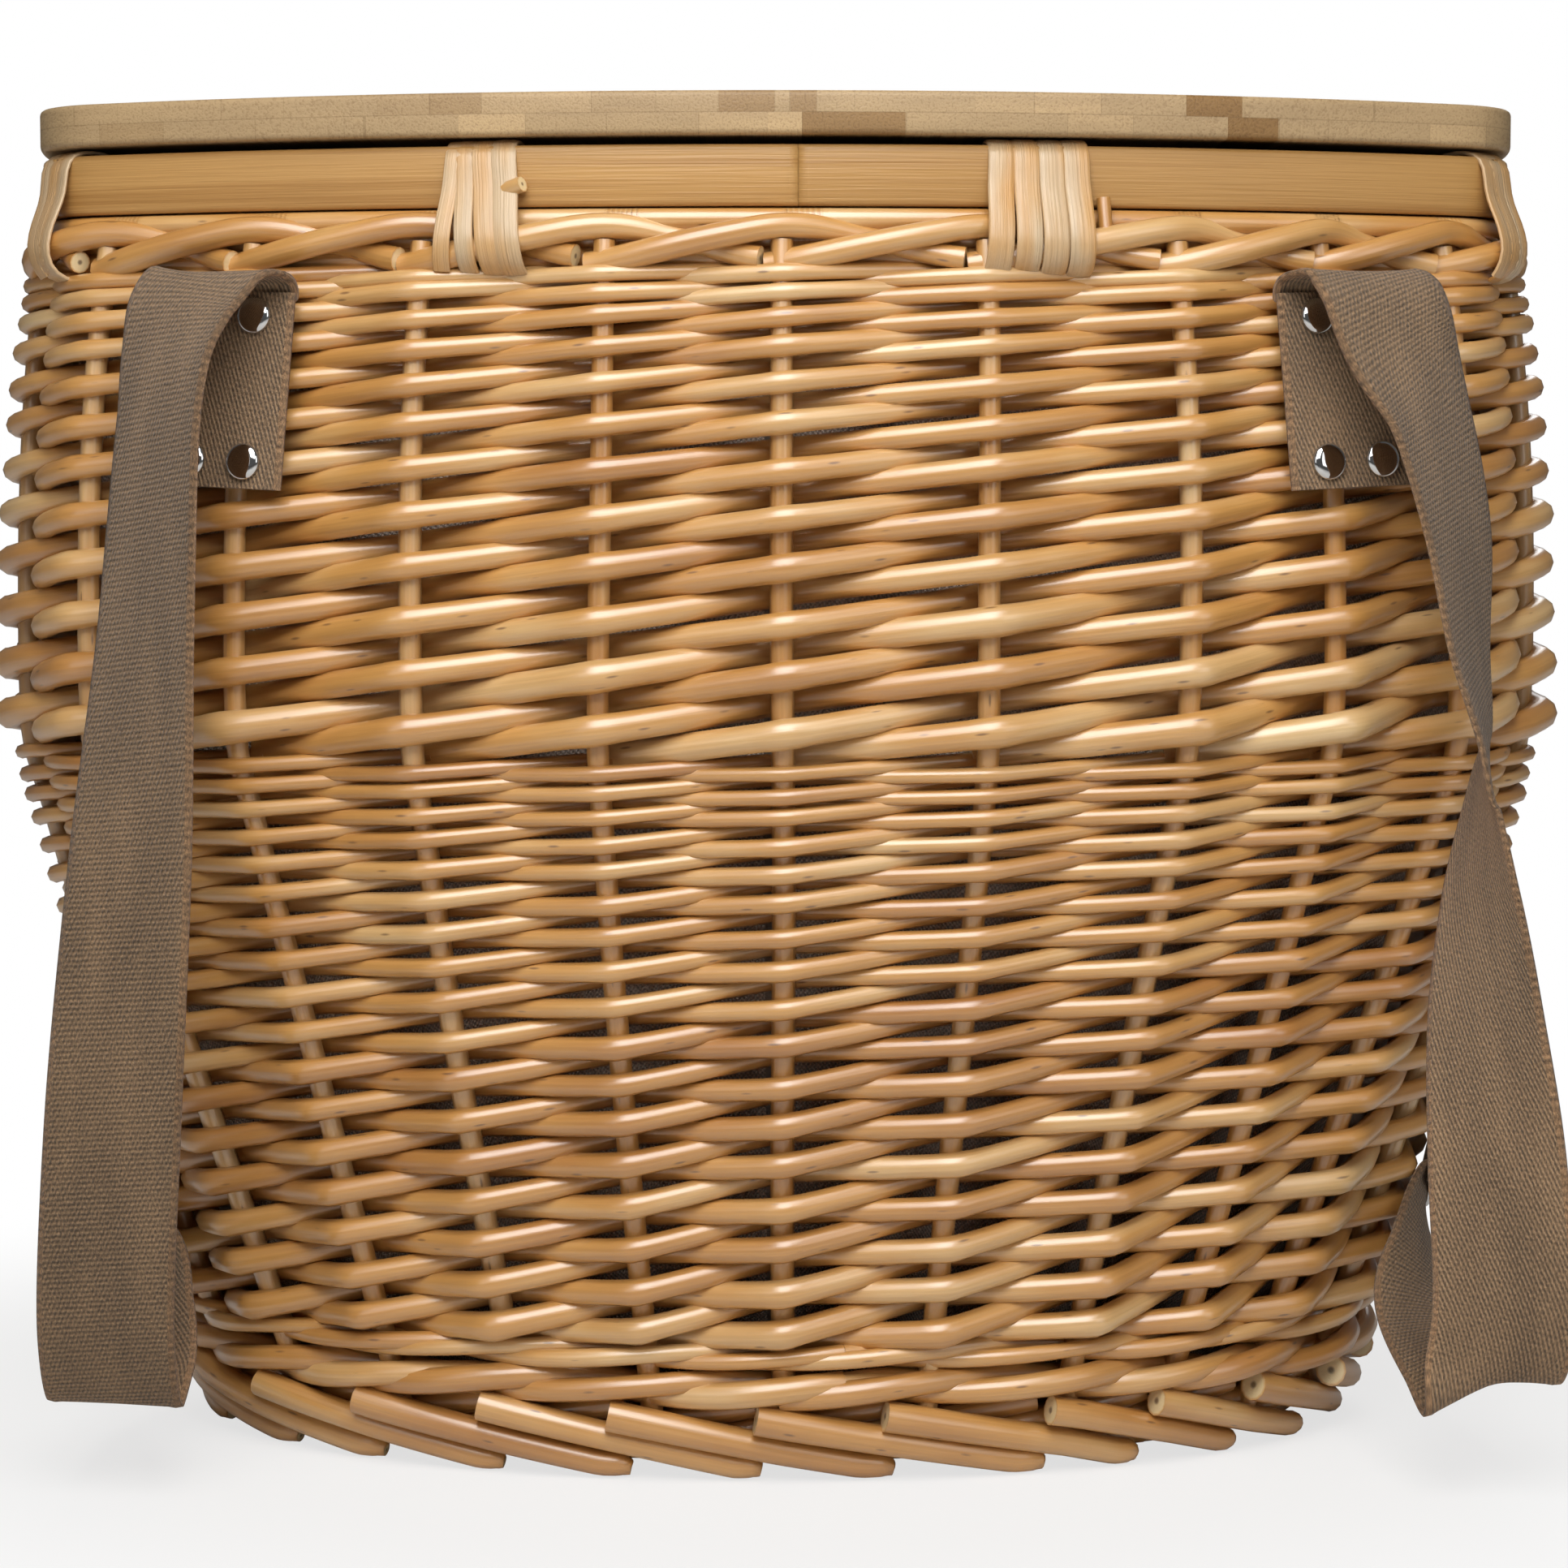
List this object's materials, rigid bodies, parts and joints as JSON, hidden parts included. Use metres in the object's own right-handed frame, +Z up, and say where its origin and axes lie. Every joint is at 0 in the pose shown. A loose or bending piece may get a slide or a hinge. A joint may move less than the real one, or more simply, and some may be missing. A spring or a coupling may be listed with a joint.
{
  "type": "wicker picnic basket",
  "caption": "Oval-rectangular woven willow picnic basket with a lift-off bamboo lid, pine rim frame, fabric liner and two riveted webbing shoulder straps.",
  "frame": {"origin": "on the floor under the middle of the basket", "axes": "+Z up, the strapped side faces -Y, +X to the right as seen from the strapped side"},
  "size_m": [0.47, 0.2822, 0.3959],
  "materials": {
    "willow": "varnished peeled rods",
    "pale_willow": "varnished peeled rods, paler",
    "skein": "satin split willow",
    "pine": "satin varnish",
    "bamboo": "satin laminated bamboo",
    "webbing": "twill webbing",
    "liner": "plain woven lining",
    "rivet": "polished"
  },
  "bodies": {
    "basket": {"foot_border": "pale_willow", "foot_wale": "pale_willow", "lower_band": "pale_willow", "base_panel": "pale_willow", "upper_band": "willow", "top_border": "willow", "liner": "liner", "front_rail_left": "pine", "front_rail_right": "pine", "end_rail_right": "pine", "back_rail_right": "pine", "back_rail_left": "pine", "end_rail_left": "pine", "binding_front_left": "skein", "binding_front_right": "skein", "binding_back_left": "skein", "binding_back_right": "skein", "binding_corner_front_left": "skein", "binding_corner_front_right": "skein", "binding_corner_back_left": "skein", "binding_corner_back_right": "skein", "left_strap": "webbing", "right_strap": "webbing", "left_top_rivet_upper_left": "rivet", "left_top_rivet_upper_right": "rivet", "left_top_rivet_lower_left": "rivet", "left_top_rivet_lower_right": "rivet", "left_anchor_rivet_upper_left": "rivet", "left_anchor_rivet_upper_right": "rivet", "left_anchor_rivet_lower_left": "rivet", "left_anchor_rivet_lower_right": "rivet", "right_top_rivet_upper_left": "rivet", "right_top_rivet_upper_right": "rivet", "right_top_rivet_lower_left": "rivet", "right_top_rivet_lower_right": "rivet", "right_anchor_rivet_upper_left": "rivet", "right_anchor_rivet_upper_right": "rivet", "right_anchor_rivet_lower_left": "rivet", "right_anchor_rivet_lower_right": "rivet"},
    "lid": {"lid_board": "bamboo", "lid_cleat_front": "pine", "lid_cleat_back": "pine"}
  },
  "joints": [
    {"name": "lid_lift", "type": "slide", "parent": "basket", "child": "lid", "axis": [0, 0, 1], "range_m": [0, 0.15]}
  ]
}
